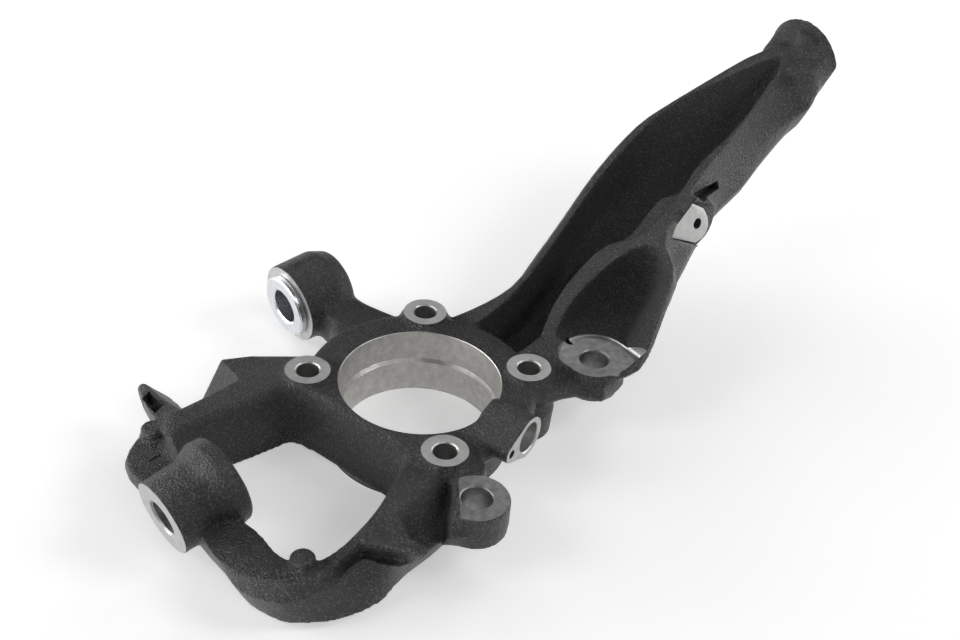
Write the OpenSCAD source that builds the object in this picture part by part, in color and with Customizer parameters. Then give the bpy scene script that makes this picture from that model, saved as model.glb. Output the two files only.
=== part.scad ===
// Steering knuckle: one sand-cast iron upright with a hub ring, a tall channel-shaped upper arm,
// a closed lower loop with the lower ball joint, a steering arm and two caliper lugs, and one
// plated bush pressed into the steering arm's eye.
// The hub axis is Z and points inboard, the hub's mounting face lies at z = 0 and Y points up the arm.
// The modules measure heights from the hub bolt seats, and the whole part is then lifted onto z = 0.
// All sizes are in millimetres.

/* [Hub ring] */
// Diameter of the inner part of the hub bore
bore_d = 90; // [84:0.5:96]
// Diameter of the hub seat, the outer part of the bore
seat_d = 86.6; // [78:0.2:88]
// Depth of the wider part of the bore
bore_step_depth = 21; // [14:0.5:30]
// Height of the bevel between the two bore diameters
bore_bevel = 2; // [1:0.5:4]
// Height from the hub mounting face to the bolt seats
ring_height = 43; // [38:0.5:50]
// Diameter of the circle through the four hub bolts
bolt_circle_d = 124; // [120:0.5:132]
// Angle of the two upper bolts from the arm direction
upper_bolt_angle = 38; // [34:0.5:42]
// Angle of the two lower bolts from the loop direction
lower_bolt_angle = 52.5; // [48:0.5:56]
// Diameter of the hub bolt holes
bolt_hole_d = 13; // [10:0.5:15]
// Diameter of the machined bolt seats
bolt_seat_d = 25; // [21:0.5:28]
// Height of the bolt seats above the cast face
bolt_seat_rise = 2.5; // [1.5:0.5:4]
// Diameter of the cast columns around the bolts
bolt_column_d = 33; // [30:0.5:36]

/* [Caliper lugs] */
// Distance from the hub axis to the line through both lug bores
lug_line = 72.5; // [70:0.5:76]
// Distance between the two lug bores
lug_spacing = 138; // [132:1:144]
// Lean of the lug line away from the arm direction
lug_lean = 9.8; // [8:0.2:12]
// Distance of the lug pair's middle along its line
lug_shift = 2.6; // [0:0.2:5]
// Diameter of the lug bores
lug_bore_d = 16.5; // [12:0.5:19]
// Diameter of the machined lug seats
lug_seat_d = 33; // [30:0.5:37]
// Thickness of the lugs
lug_thickness = 20; // [16:0.5:24]
// Height of the lug seats relative to the hub bolt seats
lug_seat_z = -1.5; // [-4:0.5:0]

/* [Upper arm] */
// Distance from the hub axis to the middle of the head's rim, along Y
head_y = 350; // [320:1:380]
// Sideways offset of the head
head_x = 29; // [22:1:36]
// Height of the head above the bolt seats
head_z = 85; // [76:1:94]
// Diameter of the head's rim
head_rim_d = 56; // [52:0.5:60]
// Diameter of the neck below the rim
neck_d = 44; // [40:0.5:47]
// Length of the flare from neck to rim
head_flare = 18; // [12:1:26]
// Diameter of the upper ball joint bore
head_bore_d = 26; // [20:0.5:30]
// Depth of the upper ball joint bore
head_bore_depth = 16; // [10:1:18]
// Thickness of the arm from rim to back
arm_depth = 42; // [38:1:46]
// Depth of the long pocket in the arm
pocket_depth = 31; // [24:1:34]

/* [Steering arm] */
// Distance of the eye's machined face from the hub axis, along X
eye_x = 114; // [108:1:122]
// Height of the eye's middle relative to the bolt seats
eye_z = -14.5; // [-18:0.5:-11]
// Position of the eye's machined face along Y
eye_y = 14; // [10:1:18]
// Outer diameter of the eye
eye_d = 48.4; // [44:0.2:53]
// Length of the eye along its axis
eye_length = 34; // [30:1:40]
// Diameter of the bush shank in the eye
bush_shank_d = 28; // [24:0.5:32]
// Diameter of the bush flange
bush_flange_d = 37.4; // [34:0.2:42]
// Thickness of the bush flange
bush_flange_t = 4.5; // [3:0.5:6]
// Bore of the bush
bush_bore_d = 20.8; // [18:0.2:22]
// Gap between the bush and the eye's bore
bush_gap = 0.05; // [0.02:0.01:0.15]

/* [Lower ball joint] */
// Sideways position of the joint's machined face
joint_x = -30; // [-34:1:-26]
// Position of the machined face along Y
joint_y = -160.5; // [-166:0.5:-156]
// Height of the joint's axis at the machined face
joint_z = -14; // [-17:0.5:-11]
// Diameter of the joint barrel
joint_d = 41.5; // [37:0.5:44]
// Bore of the joint barrel
joint_bore_d = 19; // [15:0.5:22]
// Length of the barrel before its collar
barrel_length = 25; // [20:1:30]
// Diameter of the collar on the window side
collar_d = 48.6; // [46:0.2:54]
// Thickness of the collar
collar_t = 13; // [9:0.5:16]

/* [Loop] */
// Height of the loop's lower edge above the hub mounting face
loop_clearance = 5; // [2:0.5:8]
// Distance from the hub axis to the window
window_top_y = 51; // [50.5:0.5:56]
// Diameter of the three cast datum nubs
nub_d = 12; // [9:0.5:13]
// Height of the datum nubs
nub_h = 6; // [4:0.5:8]
// Distance of the stop plate's nub from the hub axis, along X
stop_nub_x = 77.5; // [76.5:0.5:79]
// Distance of the stop plate's nub below the hub axis
stop_nub_y = 124; // [122:1:126]

/* [Sensor boss] */
// Distance of the sensor boss's face from the hub axis
sensor_face_x = 71; // [69:0.5:76]
// Height of the sensor bore's axis
sensor_z = -6; // [-8:0.5:-4]
// Bore for the wheel speed sensor
sensor_bore_d = 17.5; // [14:0.5:18.5]
// Wall around the sensor bore
sensor_wall = 3.5; // [2.5:0.5:5]
// Diameter of the sensor's screw hole
sensor_screw_d = 5; // [4:0.5:6]
// Distance from the sensor bore to its screw hole
sensor_screw_pitch = 17; // [15:0.5:19]

/* [Brake hose bracket] */
// Width of the bracket pad
pad_w = 17; // [14:0.5:20]
// Thickness of the pad's boss
pad_t = 9; // [7:0.5:12]
// Threaded hole in the pad
pad_hole_d = 6.8; // [5:0.1:8.5]

/* [Hidden] */
$fn = 64;

// Outside face of the ring, the mounting face for the hub
mount_z = -ring_height;
// Cast face around the bolt seats
cast_z = -bolt_seat_rise;
bolt_r = bolt_circle_d / 2;
ring_r = bolt_r + 3;
ring_foot_r = seat_d / 2 + 8;
// Joint axes lean with the kingpin: a little along X and Z for each length along Y
kingpin = [0.17, 0.967, 0.19];
steer_axis = [0.2, 0.973, 0.1];
head_axis = [0.2, 0.97, 0.12];

// Smooth curve through a list of points, n steps between neighbours
function knot(p, i) = p[max(0, min(len(p) - 1, i))];
function curve_point(p, i, t) = 0.5 * (2 * knot(p, i) + (knot(p, i + 1) - knot(p, i - 1)) * t
    + (2 * knot(p, i - 1) - 5 * knot(p, i) + 4 * knot(p, i + 1) - knot(p, i + 2)) * t * t
    + (3 * knot(p, i) - knot(p, i - 1) - 3 * knot(p, i + 1) + knot(p, i + 2)) * t * t * t);
function curve(p, n) = [
    for (i = [0:len(p) - 2], k = [0:n - 1]) curve_point(p, i, k / n),
    p[len(p) - 1]
];
function closed_curve(p, n) = let(m = len(p)) [
    for (i = [0:m - 1], k = [0:n - 1])
        curve_point([p[(i + m - 1) % m], p[i], p[(i + 1) % m], p[(i + 2) % m]], 1, k / n)
];

// Value at t of a smooth curve through a table of [t, value] pairs
function from_table(t, table) = lookup(t, curve(table, 5));

// Closed anticlockwise outline moved inwards by d, or outwards where d is negative
function inset(p, d) = let(m = len(p)) [
    for (i = [0:m - 1])
        let(run = p[(i + 1) % m] - p[(i + m - 1) % m])
            p[i] + d / norm(run) * [-run[1], run[0]]
];

// Closed solid through a row of rings with equally many points, with ends that meet at their middles.
// Seen from before the first ring, each ring turns anticlockwise.
function middle(ring) = [for (p = ring) 1] * ring / len(ring);
module loft(rings) {
    m = len(rings[0]);
    n = len(rings);
    last = (n - 1) * m;
    polyhedron(
        points = [for (r = rings, p = r) p, middle(rings[0]), middle(rings[n - 1])],
        faces = [
            for (j = [0:m - 1]) [n * m, (j + 1) % m, j],
            for (i = [0:n - 2], j = [0:m - 1]) [i * m + j, i * m + (j + 1) % m, (i + 1) * m + (j + 1) % m],
            for (i = [0:n - 2], j = [0:m - 1]) [i * m + j, (i + 1) * m + (j + 1) % m, (i + 1) * m + j],
            for (j = [0:m - 1]) [n * m + 1, last + j, last + (j + 1) % m]
        ]
    );
}

// Slab with drafted or rounded walls. Levels are [height, inset] pairs from the top down.
module slab(outline, levels) {
    loft([for (l = levels) [for (p = inset(outline, l[1])) [p[0], p[1], l[0]]]]);
}

// Moves Z onto an axis that starts at a point and runs along a vector
module aim(start, v) {
    translate(start)
        rotate([0, 0, atan2(v[1], v[0])])
            rotate([0, acos(v[2] / norm(v)), 0])
                children();
}

// Hub bolts, two above the hub axis and two below it
bolt_angles = [90 - upper_bolt_angle, 90 + upper_bolt_angle, 270 - lower_bolt_angle, 270 + lower_bolt_angle];
module at_bolts() {
    for (a = bolt_angles)
        translate([bolt_r * cos(a), bolt_r * sin(a), 0])
            children();
}

// Caliper lugs, number 1 above the hub axis and number -1 below it
module at_lug(side) {
    rotate(lug_lean)
        translate([lug_line, lug_shift + side * lug_spacing / 2, lug_seat_z])
            children();
}

// Hub ring with its bolt columns. The parting line stands out a little all round.
parting_z = -12;
module ring_profile(r, foot) {
    rotate_extrude()
        polygon([[0, mount_z], [foot - 1.5, mount_z], [foot, mount_z + 1.5], [foot + 1, -25], [r - 3, -17],
            [r, parting_z], [r - 0.8, parting_z + 5], [r - 2.2, cast_z - 1], [r - 4, cast_z], [0, cast_z]]);
}

module hub_ring() {
    ring_profile(ring_r, ring_foot_r);
    at_bolts() ring_profile(bolt_column_d / 2, bolt_column_d / 2 - 1);
    at_bolts() translate([0, 0, mount_z]) cylinder(d = bolt_seat_d, h = ring_height);
}

// Window between the ring and the loop, wider at the crest and with a thin ledge at its foot
window_outline = closed_curve([[-41, -window_top_y - 1], [-47, -57], [-49.5, -66], [-53, -80], [-58, -98], [-60, -116],
    [-52, -127], [-28, -133], [8, -134.5], [31, -139], [45, -132], [50.5, -120], [50.5, -103], [47, -87],
    [42, -73], [37.5, -60], [34, -54], [27, -window_top_y], [0, -window_top_y], [-32, -window_top_y]], 4);
ledge_z = mount_z + loop_clearance - 1;
module window_cut() {
    slab(window_outline, [[20, -8], [cast_z, -4.5], [cast_z - 1.5, -2], [cast_z - 5, -0.3], [-14, 0],
        [ledge_z + 3, 1.2], [ledge_z + 2.4, 3], [ledge_z, 3], [mount_z, 0], [mount_z - 5, 0]]);
}

// Left leg of the loop from the ring to the collar
leg_outline = [[-48, -12], [-58, -23], [-66, -34], [-71, -50], [-73, -66], [-74.5, -85], [-77, -105], [-79, -112],
    [-74.5, -118.5], [-69, -124], [-62, -127], [-50, -129.5], [-40, -133], [-24, -124], [-24, -60], [-30, -30]];
leg_foot_z = mount_z + loop_clearance;
module left_leg() {
    slab(leg_outline, [[cast_z, 1], [cast_z - 1.5, 0], [leg_foot_z + 4, -1], [leg_foot_z, 0.5]]);
    loft([
        [[-65, -31, cast_z], [-83, -48, cast_z], [-92, -61, cast_z], [-91, -63.5, cast_z], [-72, -66.5, cast_z],
            [-66, -60, cast_z], [-60, -26, cast_z]],
        [[-68, -31, -34], [-90, -48, -34], [-103, -66, -34], [-101, -71, -34], [-72, -74, -34], [-64, -60, -34],
            [-58, -26, -34]]
    ]);
}

// Tapered finger beside the leg, with a hollow in its top
module finger() {
    difference() {
        loft([
            [[-66, -95, -20], [-66, -104, -4], [-66, -120, -4], [-66, -122, -20]],
            [[-83, -94.5, -17], [-80, -105, -4], [-78, -119.5, -4], [-84, -117, -17.5]],
            [[-93, -93, -16.5], [-90, -104.5, -5], [-87, -117, -5], [-93, -113.2, -17]],
            [[-102, -92.5, -16], [-100, -103.2, -6], [-97, -112.8, -6], [-101.5, -109.7, -16.5]],
            [[-110, -94, -15.5], [-108, -101, -7.5], [-103.8, -109.5, -7.5], [-109, -106, -15.5]],
            [[-114, -97.5, -14.5], [-112, -99.5, -8.5], [-109, -106, -8.5], [-113, -103.8, -14.5]],
            [[-116, -99.5, -13], [-114.5, -100.2, -9.5], [-113.5, -103, -9.5], [-115.5, -102.5, -13]]
        ]);
        loft([
            [[-90.5, -106, -12.5], [-85.5, -106.5, 2], [-85.5, -115.5, 2], [-90.5, -113.3, -12.5]],
            [[-101, -104, -12.5], [-104, -104.2, 2], [-103, -108.4, 2], [-100.5, -109.5, -12.5]]
        ]);
    }
}

// Stop plate beside the barrel, with a datum nub
plate_z = -10;
stop_nub_rise = 5;
// Place of the nub on the loop's crest
crest_nub_x = 42.5;
crest_nub_y = 136;
crest_nub_z = -9;
plate_outline = [[-58, -116], [-73, -119], [-81, -125], [-82, -131], [-78, -140], [-73, -147], [-65, -151], [-56, -153],
    [-40, -152], [-26, -140], [-36, -120]];
module stop_plate() {
    slab(plate_outline, [[plate_z, 0.6], [plate_z - 1, 0], [plate_z - 6, -0.6], [plate_z - 8, 1]]);
}

module nub(x, y, z) {
    translate([x, y, z - nub_h - 4]) cylinder(d = nub_d, h = nub_h + 4);
}

// Lower ball joint: a barrel on the kingpin line with a collar at the window
joint_face = [joint_x, joint_y, joint_z];
module joint_barrel() {
    r = joint_d / 2;
    c = collar_d / 2;
    end = barrel_length + collar_t + 1;
    aim(joint_face, kingpin)
        rotate_extrude()
            polygon([[0, 0], [r, 0], [r, barrel_length - 3], [c - 1.8, barrel_length - 0.5],
                [c + 0.8, barrel_length + 5], [c + 0.6, barrel_length + 7], [c, barrel_length + 8],
                [c, end - 2], [c - 2, end], [0, end]]);
}

// Arch and right leg of the loop, as stations from the collar round to the lower right bolt.
// Each station has a point in the window, then the crest, the foot of its outer slope,
// the parting lip and the lower edge, as [x, y, z].
loop_foot_z = mount_z + loop_clearance;
loop_stations = [
    [[-25, -124], [-25, -146, -14], [-25, -147, -18], [-25, -148, -22], [-25, -144]],
    [[-8, -124], [-10, -154, -14], [-9, -154, -18], [-8, -153.5, -22], [-8, -148]],
    [[8, -127], [8, -161, -14], [9, -160, -18], [10, -159, -22], [8, -151]],
    [[20, -128], [23, -161, -14], [25, -162, -17], [28, -164, -21], [26, -156]],
    [[32, -128], [38, -154.5, -14], [42, -157, -17], [46, -159, -20], [45, -154]],
    [[40, -126], [50, -146, -13.5], [52, -148, -17], [54, -149, -20], [56, -146]],
    [[43, -122], [57, -134, -12], [58, -134, -16.5], [60.5, -134.5, -17.5], [64, -136]],
    [[44, -114], [56.5, -122, -9.5], [57, -121.5, -17], [60.8, -124, -14], [70, -123]],
    [[44, -106], [58.5, -110.5, -7], [59.5, -111.5, -17], [62.7, -114, -12.4], [72.5, -110.5]],
    [[42, -98], [60, -104, -6], [66, -107, -17], [72, -111.3, -12.3], [70.8, -101]],
    [[38, -87], [60, -93, -5], [72, -100, -17], [79, -105.5, -13], [69.5, -90]],
    [[37, -79], [58.5, -82, -3.5], [72, -88, -16], [79.8, -91, -18], [69.6, -81]],
    [[36, -70], [58, -75, -2.8], [74, -72, -15], [78, -78, -20], [70, -72]],
    [[32, -56], [57.5, -61, -2.8], [69, -60, -14.5], [80, -62, -20], [69, -60]],
    [[30, -44], [57, -47, -3], [61, -48, -14.5], [78, -48, -19], [66, -46]]
];
module loop_arch() {
    rows = [for (j = [0:4]) curve([for (s = loop_stations) s[j]], 3)];
    loft([for (i = [0:len(rows[0]) - 1]) let(inner = rows[0][i], crest = rows[1][i], foot = rows[4][i]) [
        [inner[0], inner[1], loop_foot_z], [foot[0], foot[1], loop_foot_z], rows[3][i], rows[2][i], crest,
        [inner[0], inner[1], crest[2]]
    ]]);
}

// Wall between the ring and the window
module window_sill() {
    translate([-52, -window_top_y - 4, loop_foot_z])
        cube([108, 14, cast_z - 1 - loop_foot_z]);
}

// Pocket in the right leg beside the lower caliper lug
module leg_pocket() {
    loft([
        [[52, -90, 8], [87, -90, 8], [84.1, -68.5, 8], [69.9, -52.2, 8], [60, -47, 8], [52, -47, 8]],
        [[52, -90, -18], [81, -90, -18], [78.2, -76.7, -18], [63.3, -53.6, -18], [58, -50, -18], [52, -50, -18]]
    ]);
}

// Wall between that pocket and the lug's seat, with a sloping end
module pocket_wall() {
    loft([
        [[84.6, -68.8, 1], [69.9, -51.9, 1], [66.4, -53.5, 1], [80.6, -71, 1]],
        [[84.8, -69, -3], [69.9, -51.9, -3], [65.5, -53.2, -3], [81.4, -72.5, -3]],
        [[92, -69.5, -11], [76, -50, -11], [62, -52.5, -11], [84.5, -77, -11]],
        [[90, -68, -20], [76, -50, -20], [62, -54, -20], [80, -76, -20]]
    ]);
}

// Flat cross rib at the right leg's lower end
module cross_rib() {
    loft([
        [[54, -110, -5], [61, -110, -5], [69, -106.4, -5], [77.2, -103, -5], [85.2, -99, -5], [85.2, -93.2, -5],
            [74.8, -94.2, -5], [60, -85, -5], [54, -85, -5]],
        [[54, -111, -6], [61, -110.8, -6], [69, -107.2, -6], [77.5, -103.8, -6], [86, -99.5, -6], [86, -92.5, -6],
            [75, -93.5, -6], [60, -84, -6], [54, -84, -6]],
        [[54, -110, -20], [61, -108, -20], [68, -104, -20], [73, -100.5, -20], [78, -97, -20], [78, -92, -20],
            [74, -92.5, -20], [60, -84, -20], [54, -84, -20]]
    ]);
}

// Caliper lugs and the webs that carry them
module lugs() {
    r = lug_seat_d / 2 + 1;
    for (side = [-1, 1])
        at_lug(side) translate([0, 0, -lug_thickness + 5]) cylinder(r = r, h = lug_thickness - 5);
    at_lug(1) translate([0, 0, -lug_thickness]) cylinder(r = r - 2.5, h = lug_thickness);
    at_lug(-1) translate([0, 0, -lug_thickness]) cylinder(r = r - 0.5, h = lug_thickness);
    slab([[40, 40], [54, 44], [58, 56], [63, 64], [76, 70], [76, 90], [60, 96], [44, 88], [36, 60]],
        [[-5.3, 1], [-7.3, 0], [-14.2, -0.5], [-17.6, 1]]);
    slab([[54, -50], [72, -53], [82, -69], [92, -60], [90, -46], [82, -38], [73, -34], [69, -27], [58, -22], [48, -36]],
        [[-4.4, 1], [-6.3, 0], [-15.3, -0.5], [-19.5, 1]]);
}

// Pear-shaped boss for the wheel speed sensor. Local Z is the sensor's axis and local X points down.
sensor_axis = [0.996, 0.091, 0];
module sensor_shape() {
    big = sensor_bore_d / 2 + sensor_wall;
    small = sensor_screw_d / 2 + sensor_wall - 0.5;
    lean = asin((big - small) / sensor_screw_pitch);
    circle(r = big);
    translate([0, -sensor_screw_pitch]) circle(r = small);
    polygon([[big * cos(lean), -big * sin(lean)], [-big * cos(lean), -big * sin(lean)],
        [-small * cos(lean), -sensor_screw_pitch - small * sin(lean)],
        [small * cos(lean), -sensor_screw_pitch - small * sin(lean)]]);
}
module sensor_place() {
    aim([sensor_face_x, sensor_face_x * 0.091, sensor_z], sensor_axis) children();
}
module sensor_boss() {
    sensor_place() translate([0, 0, -26]) linear_extrude(26) sensor_shape();
}
module sensor_holes() {
    sensor_place() {
        translate([0, 0, -60]) cylinder(d = sensor_bore_d, h = 70);
        translate([0, -sensor_screw_pitch, -14]) cylinder(d = sensor_screw_d, h = 20);
    }
}

// Steering arm: a neck from the ring to the eye
eye_face = [-eye_x, eye_y, eye_z];
module steering_neck() {
    loft([for (s = [
        [-108, 16, 42, -32, -3], [-92, 12, 43, -32, -7], [-78, 8, 43, -33, -8],
        [-66, 2, 44.5, -36, -8], [-56, -10, 46, -38, -8], [-44, -14, 46, -38, -8]
    ]) [
        [s[0], s[1], s[3] + 4], [s[0], s[1] + 2, s[4] - 3], [s[0], s[1] + 5, s[4]], [s[0], s[2] - 5, s[4]],
        [s[0], s[2], s[4] - 4], [s[0], s[2] + 1, (s[3] + s[4]) / 2], [s[0], s[2] - 2, s[3] + 3], [s[0], s[2] - 6, s[3]], [s[0], s[1] + 5, s[3]]
    ]]);
}
module steering_eye() {
    r = eye_d / 2;
    aim(eye_face, steer_axis)
        rotate_extrude()
            polygon([[0, 0], [r - 0.6, 0], [r, 0.6], [r, 0.7 * eye_length], [r - 3.5, eye_length - 1.5],
                [r - 5, eye_length], [0, eye_length]]);
}
module steering_arm() {
    difference() {
        steering_neck();
        aim(eye_face, steer_axis) translate([0, 0, -30]) cylinder(r = 37.5, h = 38);
    }
    steering_eye();
}

// The upper arm is a row of sections along Y, with t = 0 at the ring and 1 at the neck.
// Tables give offsets from the straight line between the ring and the head.
arm_y0 = bolt_r - 2;
arm_y1 = head_y - 15;
arm_left = [[0, -28], [0.06, -22.5], [0.15, -18.5], [0.24, -24], [0.38, -32.5], [0.51, -39.5],
    [0.64, -43], [0.72, -40.5], [0.79, -36], [0.86, -30], [0.92, -24.5], [0.96, -19], [1, -14]];
arm_right = [[0, 44], [0.04, 62], [0.07, 79], [0.1, 83], [0.15, 80], [0.22, 71.5], [0.29, 62.5], [0.33, 57],
    [0.36, 50], [0.385, 39], [0.42, 32], [0.46, 28.4], [0.52, 24.5], [0.6, 20], [0.69, 16.7], [0.78, 12.6],
    [0.86, 9.9], [0.93, 6.5], [0.97, 2.5], [1, -2]];
arm_edge = [[0, 44], [0.04, 60], [0.07, 73], [0.1, 77], [0.18, 73], [0.24, 67], [0.29, 61], [0.33, 57],
    [0.37, 52], [0.4, 48], [0.45, 43], [0.52, 37], [0.58, 31], [0.63, 25.5], [0.68, 22.3], [0.75, 21.5],
    [0.82, 23], [0.88, 25], [0.92, 28.5], [0.945, 29], [0.97, 25.5], [1, 22.5]];
arm_flank = [[0, 44], [0.04, 54], [0.07, 60], [0.12, 63], [0.2, 61.5], [0.27, 58], [0.32, 54], [0.37, 49.5],
    [0.43, 44.5], [0.5, 38], [0.6, 30], [0.65, 28.5], [0.715, 28], [0.78, 25], [0.84, 23.6], [0.9, 23.3],
    [0.93, 25.4], [0.955, 25.5], [1, 20]];
arm_rise = [[0, -3], [0.06, -4.5], [0.11, -5.5], [0.22, -5.5], [0.33, -4], [0.44, 0], [0.55, 2.5],
    [0.66, 4], [0.77, 5], [0.87, 8], [0.94, 10.5], [1, 12]];
arm_right_depth = [[0, 20], [0.15, 24], [0.3, 30], [0.5, 37], [0.7, 41], [0.9, 39], [1, 32]];
function arm_y(t) = arm_y0 + (arm_y1 - arm_y0) * t;
function arm_x(t, table) = head_x * t + from_table(t, table);
function arm_rim(t) = head_z * t + from_table(t, arm_rise);
arm_steps = 28;

function arm_section(t) = let(
    y = arm_y(t), xl = arm_x(t, arm_left), xr = arm_x(t, arm_right), xe = arm_x(t, arm_edge), xf = arm_x(t, arm_flank),
    z = arm_rim(t), zl = max(z - arm_depth, mount_z), d = from_table(t, arm_right_depth)
) [
    [xl + 4, y, zl], [xl - 1, y, zl + 8], [xl - 2, y, z - 18], [xl, y, z - 2.5], [xl + 2.5, y, z],
    [xr - 2, y, z], [xr, y, z - 2.5], [xe, y, z - 0.45 * d], [xf, y, z - 0.7 * d], [xf - 3, y, z - d + 4], [xf - 9, y, z - d]
];

module arm_solid() {
    loft([for (i = [arm_steps:-1:0]) arm_section(i / arm_steps)]);
}

// Long pocket of the arm's channel, open towards the bolt seats
pocket_left = [[0, -12], [0.06, -11], [0.15, -12.5], [0.24, -17.5], [0.34, -24], [0.46, -30.5],
    [0.56, -34.5], [0.66, -36.5], [0.72, -35.5], [0.777, -32.2], [0.842, -23.8], [0.9, -16], [0.937, -10.3],
    [0.965, -4.5]];
pocket_right = [[0, 22], [0.06, 23.5], [0.12, 15], [0.2, 8], [0.29, 5], [0.34, 7.5], [0.365, 14],
    [0.39, 19.5], [0.44, 20.5], [0.55, 15.5], [0.6, 11.8], [0.7, 11], [0.775, 9.4], [0.835, 6.2], [0.9, 3.6],
    [0.94, 1.5], [0.965, -2.2]];
pocket_sink = [[0, 30], [0.3, 31], [0.6, 30], [0.8, 25], [0.92, 17], [0.965, 6]];
pocket_lean_left = [[0, 3], [0.5, 4], [0.68, 12], [0.85, 14], [0.94, 7], [0.965, 2]];
pocket_lean_right = [[0, 3], [0.34, 4], [0.42, 15], [0.52, 15], [0.6, 6], [0.8, 4], [0.965, 1]];
pocket_bank = [[0, 0.5], [0.28, 0.5], [0.34, 5], [0.4, 11], [0.47, 13], [0.53, 11], [0.55, 0.5], [1, 0.5]];
pocket_steps = 28;
pocket_end = 0.965;

function pocket_section(t) = let(
    y = arm_y(t), xl = arm_x(t, pocket_left), xr = arm_x(t, pocket_right), z = arm_rim(t),
    d = from_table(t, pocket_sink) * pocket_depth / 31, r = (xr - xl) / 12,
    ll = min(from_table(t, pocket_lean_left), 4 * r), bank = max(0.3, lookup(t, pocket_bank)),
    lr = max(min(from_table(t, pocket_lean_right), 5 * r), bank + min(1, r))
) [
    [xl + ll + r, y, z - d], [xl + ll, y, z - 0.85 * d], [xl, y, z], [xl - 1, y, z + 12],
    [xr + 1, y, z + 12], [xr, y, z], [xr - 0.3, y, z - 0.2 * d], [xr - bank, y, z - 0.26 * d],
    [xr - lr, y, z - 0.85 * d], [xr - lr - r, y, z - d]
];

module long_pocket() {
    loft([for (i = [pocket_steps:-1:0]) pocket_section(-0.01 + (pocket_end + 0.01) * i / pocket_steps)]);
}

// Short pocket above the upper caliper lug
lug_pocket_left = [[0.08, 30], [0.13, 23], [0.2, 18.5], [0.265, 17.8], [0.3, 18.5], [0.332, 20.1],
    [0.356, 22.7], [0.375, 27]];
lug_pocket_right = [[0.08, 82], [0.13, 78], [0.18, 72], [0.224, 66], [0.288, 58], [0.33, 52.5],
    [0.352, 48.4], [0.375, 38]];
lug_pocket_sink = [[0.08, 4], [0.13, 12], [0.2, 18], [0.27, 20], [0.33, 18], [0.36, 14], [0.375, 8]];
lug_pocket_start = 0.08;
lug_pocket_end = 0.375;
function lug_pocket_section(t) = let(
    y = arm_y(t), xl = arm_x(t, lug_pocket_left), xr = arm_x(t, lug_pocket_right), z = arm_rim(t),
    d = from_table(t, lug_pocket_sink), w = xr - xl
) [
    [xl + 0.15 * w, y, z - d], [xl + 0.06 * w, y, z - d + 3], [xl, y, z], [xl - 1, y, z + 12],
    [xr + 1, y, z + 12], [xr, y, z], [xr - 0.2 * w, y, z - d / 2], [xr - 0.38 * w, y, z - d]
];
module lug_pocket() {
    loft([for (i = [14:-1:0]) lug_pocket_section(lug_pocket_start + (lug_pocket_end - lug_pocket_start) * i / 14)]);
}

// Head of the arm with the upper ball joint bore: the neck's section runs out into the round rim.
// Each station has its distance from the head's face, the half width and half height of the neck's
// section, that section's shift from the head's axis along X and Z, and the share of the round rim.
head_face = [head_x + 0.4, head_y, head_z - 0.6];
head_stations = [[0, 20, 18, 0, 0, 1], [1.2, 20, 18, 0, 0, 1], [3, 20, 18, 0, -1, 0.8], [6, 22, 18, 1, -2, 0.55],
    [9, 23, 17.5, 1, -3, 0.32], [13, 23, 17, 1, -4, 0.12], [18, 23, 16.5, 1.5, -4.5, 0], [30, 16, 13, 3, -4, 0]];
head_sides = 32;
head_nub = [head_x + 3, head_y - 12, head_z + 11];
head_nub_axis = [0.1, 0.2, 0.97];
function head_ring(s) = let(c = head_face - s[0] * head_axis, r = head_rim_d / 2) [
    for (k = [0:head_sides - 1])
        let(a = 180 - 360 * k / head_sides, q = 1 / pow(pow(abs(cos(a)) / s[1], 4) + pow(abs(sin(a)) / s[2], 4), 0.25),
            u = s[5] * r + (1 - s[5]) * q)
            c + (1 - s[5]) * [s[3], 0, s[4]] + u * cos(a) * [0.979, -0.202, 0] + u * sin(a) * [-0.024, -0.118, 0.993]
];
module arm_head() {
    loft([for (s = curve(head_stations, 3)) head_ring(s)]);
}

// The head is cut flat on its lower outer side
module head_flat() {
    aim(head_face, [0.958, 0.158, -0.384])
        translate([-head_rim_d / 2, -head_rim_d / 2, 0.376 * head_rim_d])
            cube([head_rim_d, head_rim_d, head_rim_d]);
}

// Pad for the brake hose bracket on the arm's right flank: a machined face sunk into a round boss.
// Local X points down and local Y up the arm. Its middle lies at a share of the arm's length.
pad_share = 0.52;
pad_place = [head_x * pad_share + 32.5, arm_y(pad_share), head_z * pad_share - 14.2];
pad_axis = [0.96, -0.2, 0.2];
pad_outline = [[-14.8, -4.1], [0.6, -25.8], [7, -15.4], [10.9, -6.5], [11.8, 2.4], [8.9, 7.7], [4.6, 11.2], [-0.1, 12],
    [-6, 9.3], [-8.8, 4.8]];
module hose_boss() {
    aim(pad_place, pad_axis)
        difference() {
            translate([-1, 1, -pad_t - 6]) cylinder(d = pad_w + 14, h = pad_t + 8.5);
            translate([-40 - 4, -30, 0]) cube([40, 60, 20]);
        }
}
module hose_pad() {
    aim(pad_place, pad_axis)
        translate([0, 0, -pad_t - 6]) linear_extrude(pad_t + 6) polygon(pad_outline);
}
module hose_recess() {
    aim(pad_place, pad_axis)
        linear_extrude(20) polygon(pad_outline);
}
module hose_slot() {
    aim(pad_place, pad_axis)
        translate([-19.5, 3, -8]) rotate(4) cube([7, 24, 30]);
}

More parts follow.
